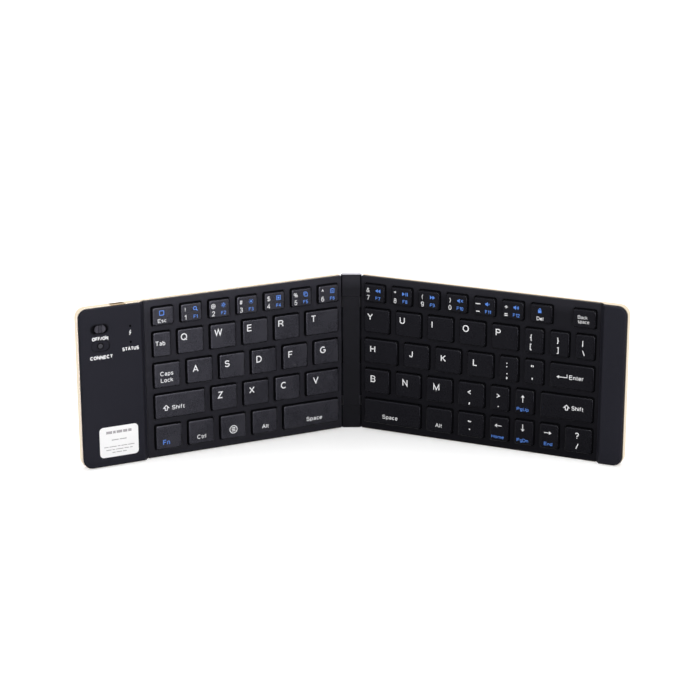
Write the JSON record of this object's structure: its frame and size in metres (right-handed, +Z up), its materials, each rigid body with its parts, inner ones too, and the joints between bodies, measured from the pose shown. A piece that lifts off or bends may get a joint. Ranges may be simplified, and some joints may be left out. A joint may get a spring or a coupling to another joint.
{
  "type": "folding keyboard",
  "caption": "Folding keyboard in a slim metal case: key halves hinged on a spine, opened like a book and standing on its long front edge.",
  "frame": {"origin": "on the surface the keyboard stands on, below the middle of its bounding box", "axes": "+Z up along the spine, +X to the right half, keys face -Y"},
  "size_m": [0.2946, 0.0724, 0.09],
  "materials": {
    "hinge_metal": "satin",
    "black_plastic": "matt",
    "steel": "satin",
    "flex_film": "matt",
    "gold_metal": "satin anodised",
    "membrane_film": "matt",
    "dome_rubber": "matt",
    "foot_rubber": "matt",
    "circuit_board": "satin",
    "battery_foil": "satin",
    "port_metal": "satin",
    "control_plastic": "satin",
    "lens": "gloss",
    "label": "satin",
    "key_plastic": "matt"
  },
  "bodies": {
    "spine": {"spine_frame": "hinge_metal", "spine_cover": "black_plastic", "spine_end_plates": "black_plastic", "hinge_block_top": "hinge_metal", "hinge_block_bottom": "hinge_metal", "hinge_pins": "steel", "flex_cable": "flex_film"},
    "left_half": {"left_back_shell": "gold_metal", "left_end_cover": "black_plastic", "left_bezel": "black_plastic", "left_key_plate": "steel", "left_membrane": "membrane_film", "left_key_supports": "dome_rubber", "left_hinge_leaves": "steel", "left_screws": "steel", "left_feet": "foot_rubber", "main_board": "circuit_board", "battery": "battery_foil", "charge_port": "port_metal", "power_switch": "steel", "indicator_lenses": "lens", "blank_label": "label"},
    "right_half": {"right_back_shell": "gold_metal", "right_end_cover": "black_plastic", "right_bezel": "black_plastic", "right_key_plate": "steel", "right_membrane": "membrane_film", "right_key_supports": "dome_rubber", "right_hinge_leaves": "steel", "right_screws": "steel", "right_feet": "foot_rubber"},
    "power_slider": {"power_slider": "control_plastic"},
    "connect_button": {"connect_button": "control_plastic"},
    "key_space_left": {"key_space_left": "key_plastic"},
    "key_alt_left": {"key_alt_left": "key_plastic"},
    "key_menu": {"key_menu": "key_plastic"},
    "key_ctrl": {"key_ctrl": "key_plastic"},
    "key_fn": {"key_fn": "key_plastic"},
    "key_shift_left": {"key_shift_left": "key_plastic"},
    "key_caps_lock": {"key_caps_lock": "key_plastic"},
    "key_tab": {"key_tab": "key_plastic"},
    "key_esc": {"key_esc": "key_plastic"},
    "keys_zxcv": {"keys_zxcv": "key_plastic"},
    "keys_asdfg": {"keys_asdfg": "key_plastic"},
    "keys_qwert": {"keys_qwert": "key_plastic"},
    "keys_1_to_6": {"keys_1_to_6": "key_plastic"},
    "key_space_right": {"key_space_right": "key_plastic"},
    "key_alt_right": {"key_alt_right": "key_plastic"},
    "key_arrow_left": {"key_arrow_left": "key_plastic"},
    "key_arrow_down": {"key_arrow_down": "key_plastic"},
    "key_arrow_right": {"key_arrow_right": "key_plastic"},
    "key_arrow_up": {"key_arrow_up": "key_plastic"},
    "key_shift_right": {"key_shift_right": "key_plastic"},
    "key_enter": {"key_enter": "key_plastic"},
    "key_delete": {"key_delete": "key_plastic"},
    "key_backspace": {"key_backspace": "key_plastic"},
    "keys_bottom_right": {"keys_bottom_right": "key_plastic"},
    "keys_hjkl": {"keys_hjkl": "key_plastic"},
    "keys_yuiop": {"keys_yuiop": "key_plastic"},
    "keys_7_to_equals": {"keys_7_to_equals": "key_plastic"}
  },
  "joints": [
    {"name": "left_fold", "type": "hinge", "parent": "spine", "child": "left_half", "pos_m": [-0.0047, 0.03343, 0.045], "axis": [0, 0, 1], "range_deg": [-24.9, 65]},
    {"name": "right_fold", "type": "hinge", "parent": "spine", "child": "right_half", "pos_m": [0.0047, 0.03343, 0.045], "axis": [0, 0, -1], "range_deg": [-24.9, 65]},
    {"name": "power_slide", "type": "slide", "parent": "left_half", "child": "power_slider", "axis": [-0.907, -0.421, 0], "range_m": [0, 0.002]},
    {"name": "connect_press", "type": "slide", "parent": "left_half", "child": "connect_button", "axis": [-0.421, 0.907, 0], "range_m": [0, 0.0004], "stiffness_N_per_m": 1500},
    {"name": "space_left_press", "type": "slide", "parent": "left_half", "child": "key_space_left", "axis": [-0.421, 0.907, 0], "range_m": [0, 0.0013], "stiffness_N_per_m": 400, "deforming": ["left_key_supports"]},
    {"name": "alt_left_press", "type": "slide", "parent": "left_half", "child": "key_alt_left", "axis": [-0.421, 0.907, 0], "range_m": [0, 0.0013], "stiffness_N_per_m": 400, "deforming": ["left_key_supports"]},
    {"name": "menu_press", "type": "slide", "parent": "left_half", "child": "key_menu", "axis": [-0.421, 0.907, 0], "range_m": [0, 0.0013], "stiffness_N_per_m": 400, "deforming": ["left_key_supports"]},
    {"name": "ctrl_press", "type": "slide", "parent": "left_half", "child": "key_ctrl", "axis": [-0.421, 0.907, 0], "range_m": [0, 0.0013], "stiffness_N_per_m": 400, "deforming": ["left_key_supports"]},
    {"name": "fn_press", "type": "slide", "parent": "left_half", "child": "key_fn", "axis": [-0.421, 0.907, 0], "range_m": [0, 0.0013], "stiffness_N_per_m": 400, "deforming": ["left_key_supports"]},
    {"name": "shift_left_press", "type": "slide", "parent": "left_half", "child": "key_shift_left", "axis": [-0.421, 0.907, 0], "range_m": [0, 0.0013], "stiffness_N_per_m": 400, "deforming": ["left_key_supports"]},
    {"name": "caps_lock_press", "type": "slide", "parent": "left_half", "child": "key_caps_lock", "axis": [-0.421, 0.907, 0], "range_m": [0, 0.0013], "stiffness_N_per_m": 400, "deforming": ["left_key_supports"]},
    {"name": "tab_press", "type": "slide", "parent": "left_half", "child": "key_tab", "axis": [-0.421, 0.907, 0], "range_m": [0, 0.0013], "stiffness_N_per_m": 400, "deforming": ["left_key_supports"]},
    {"name": "esc_press", "type": "slide", "parent": "left_half", "child": "key_esc", "axis": [-0.421, 0.907, 0], "range_m": [0, 0.0013], "stiffness_N_per_m": 400, "deforming": ["left_key_supports"]},
    {"name": "zxcv_press", "type": "slide", "parent": "left_half", "child": "keys_zxcv", "axis": [-0.421, 0.907, 0], "range_m": [0, 0.0013], "stiffness_N_per_m": 400, "deforming": ["left_key_supports"]},
    {"name": "asdfg_press", "type": "slide", "parent": "left_half", "child": "keys_asdfg", "axis": [-0.421, 0.907, 0], "range_m": [0, 0.0013], "stiffness_N_per_m": 400, "deforming": ["left_key_supports"]},
    {"name": "qwert_press", "type": "slide", "parent": "left_half", "child": "keys_qwert", "axis": [-0.421, 0.907, 0], "range_m": [0, 0.0013], "stiffness_N_per_m": 400, "deforming": ["left_key_supports"]},
    {"name": "1_to_6_press", "type": "slide", "parent": "left_half", "child": "keys_1_to_6", "axis": [-0.421, 0.907, 0], "range_m": [0, 0.0013], "stiffness_N_per_m": 400, "deforming": ["left_key_supports"]},
    {"name": "space_right_press", "type": "slide", "parent": "right_half", "child": "key_space_right", "axis": [0.421, 0.907, 0], "range_m": [0, 0.0013], "stiffness_N_per_m": 400, "deforming": ["right_key_supports"]},
    {"name": "alt_right_press", "type": "slide", "parent": "right_half", "child": "key_alt_right", "axis": [0.421, 0.907, 0], "range_m": [0, 0.0013], "stiffness_N_per_m": 400, "deforming": ["right_key_supports"]},
    {"name": "arrow_left_press", "type": "slide", "parent": "right_half", "child": "key_arrow_left", "axis": [0.421, 0.907, 0], "range_m": [0, 0.0013], "stiffness_N_per_m": 400, "deforming": ["right_key_supports"]},
    {"name": "arrow_down_press", "type": "slide", "parent": "right_half", "child": "key_arrow_down", "axis": [0.421, 0.907, 0], "range_m": [0, 0.0013], "stiffness_N_per_m": 400, "deforming": ["right_key_supports"]},
    {"name": "arrow_right_press", "type": "slide", "parent": "right_half", "child": "key_arrow_right", "axis": [0.421, 0.907, 0], "range_m": [0, 0.0013], "stiffness_N_per_m": 400, "deforming": ["right_key_supports"]},
    {"name": "arrow_up_press", "type": "slide", "parent": "right_half", "child": "key_arrow_up", "axis": [0.421, 0.907, 0], "range_m": [0, 0.0013], "stiffness_N_per_m": 400, "deforming": ["right_key_supports"]},
    {"name": "shift_right_press", "type": "slide", "parent": "right_half", "child": "key_shift_right", "axis": [0.421, 0.907, 0], "range_m": [0, 0.0013], "stiffness_N_per_m": 400, "deforming": ["right_key_supports"]},
    {"name": "enter_press", "type": "slide", "parent": "right_half", "child": "key_enter", "axis": [0.421, 0.907, 0], "range_m": [0, 0.0013], "stiffness_N_per_m": 400, "deforming": ["right_key_supports"]},
    {"name": "delete_press", "type": "slide", "parent": "right_half", "child": "key_delete", "axis": [0.421, 0.907, 0], "range_m": [0, 0.0013], "stiffness_N_per_m": 400, "deforming": ["right_key_supports"]},
    {"name": "backspace_press", "type": "slide", "parent": "right_half", "child": "key_backspace", "axis": [0.421, 0.907, 0], "range_m": [0, 0.0013], "stiffness_N_per_m": 400, "deforming": ["right_key_supports"]},
    {"name": "bottom_right_press", "type": "slide", "parent": "right_half", "child": "keys_bottom_right", "axis": [0.421, 0.907, 0], "range_m": [0, 0.0013], "stiffness_N_per_m": 400, "deforming": ["right_key_supports"]},
    {"name": "hjkl_press", "type": "slide", "parent": "right_half", "child": "keys_hjkl", "axis": [0.421, 0.907, 0], "range_m": [0, 0.0013], "stiffness_N_per_m": 400, "deforming": ["right_key_supports"]},
    {"name": "yuiop_press", "type": "slide", "parent": "right_half", "child": "keys_yuiop", "axis": [0.421, 0.907, 0], "range_m": [0, 0.0013], "stiffness_N_per_m": 400, "deforming": ["right_key_supports"]},
    {"name": "7_to_equals_press", "type": "slide", "parent": "right_half", "child": "keys_7_to_equals", "axis": [0.421, 0.907, 0], "range_m": [0, 0.0013], "stiffness_N_per_m": 400, "deforming": ["right_key_supports"]}
  ]
}
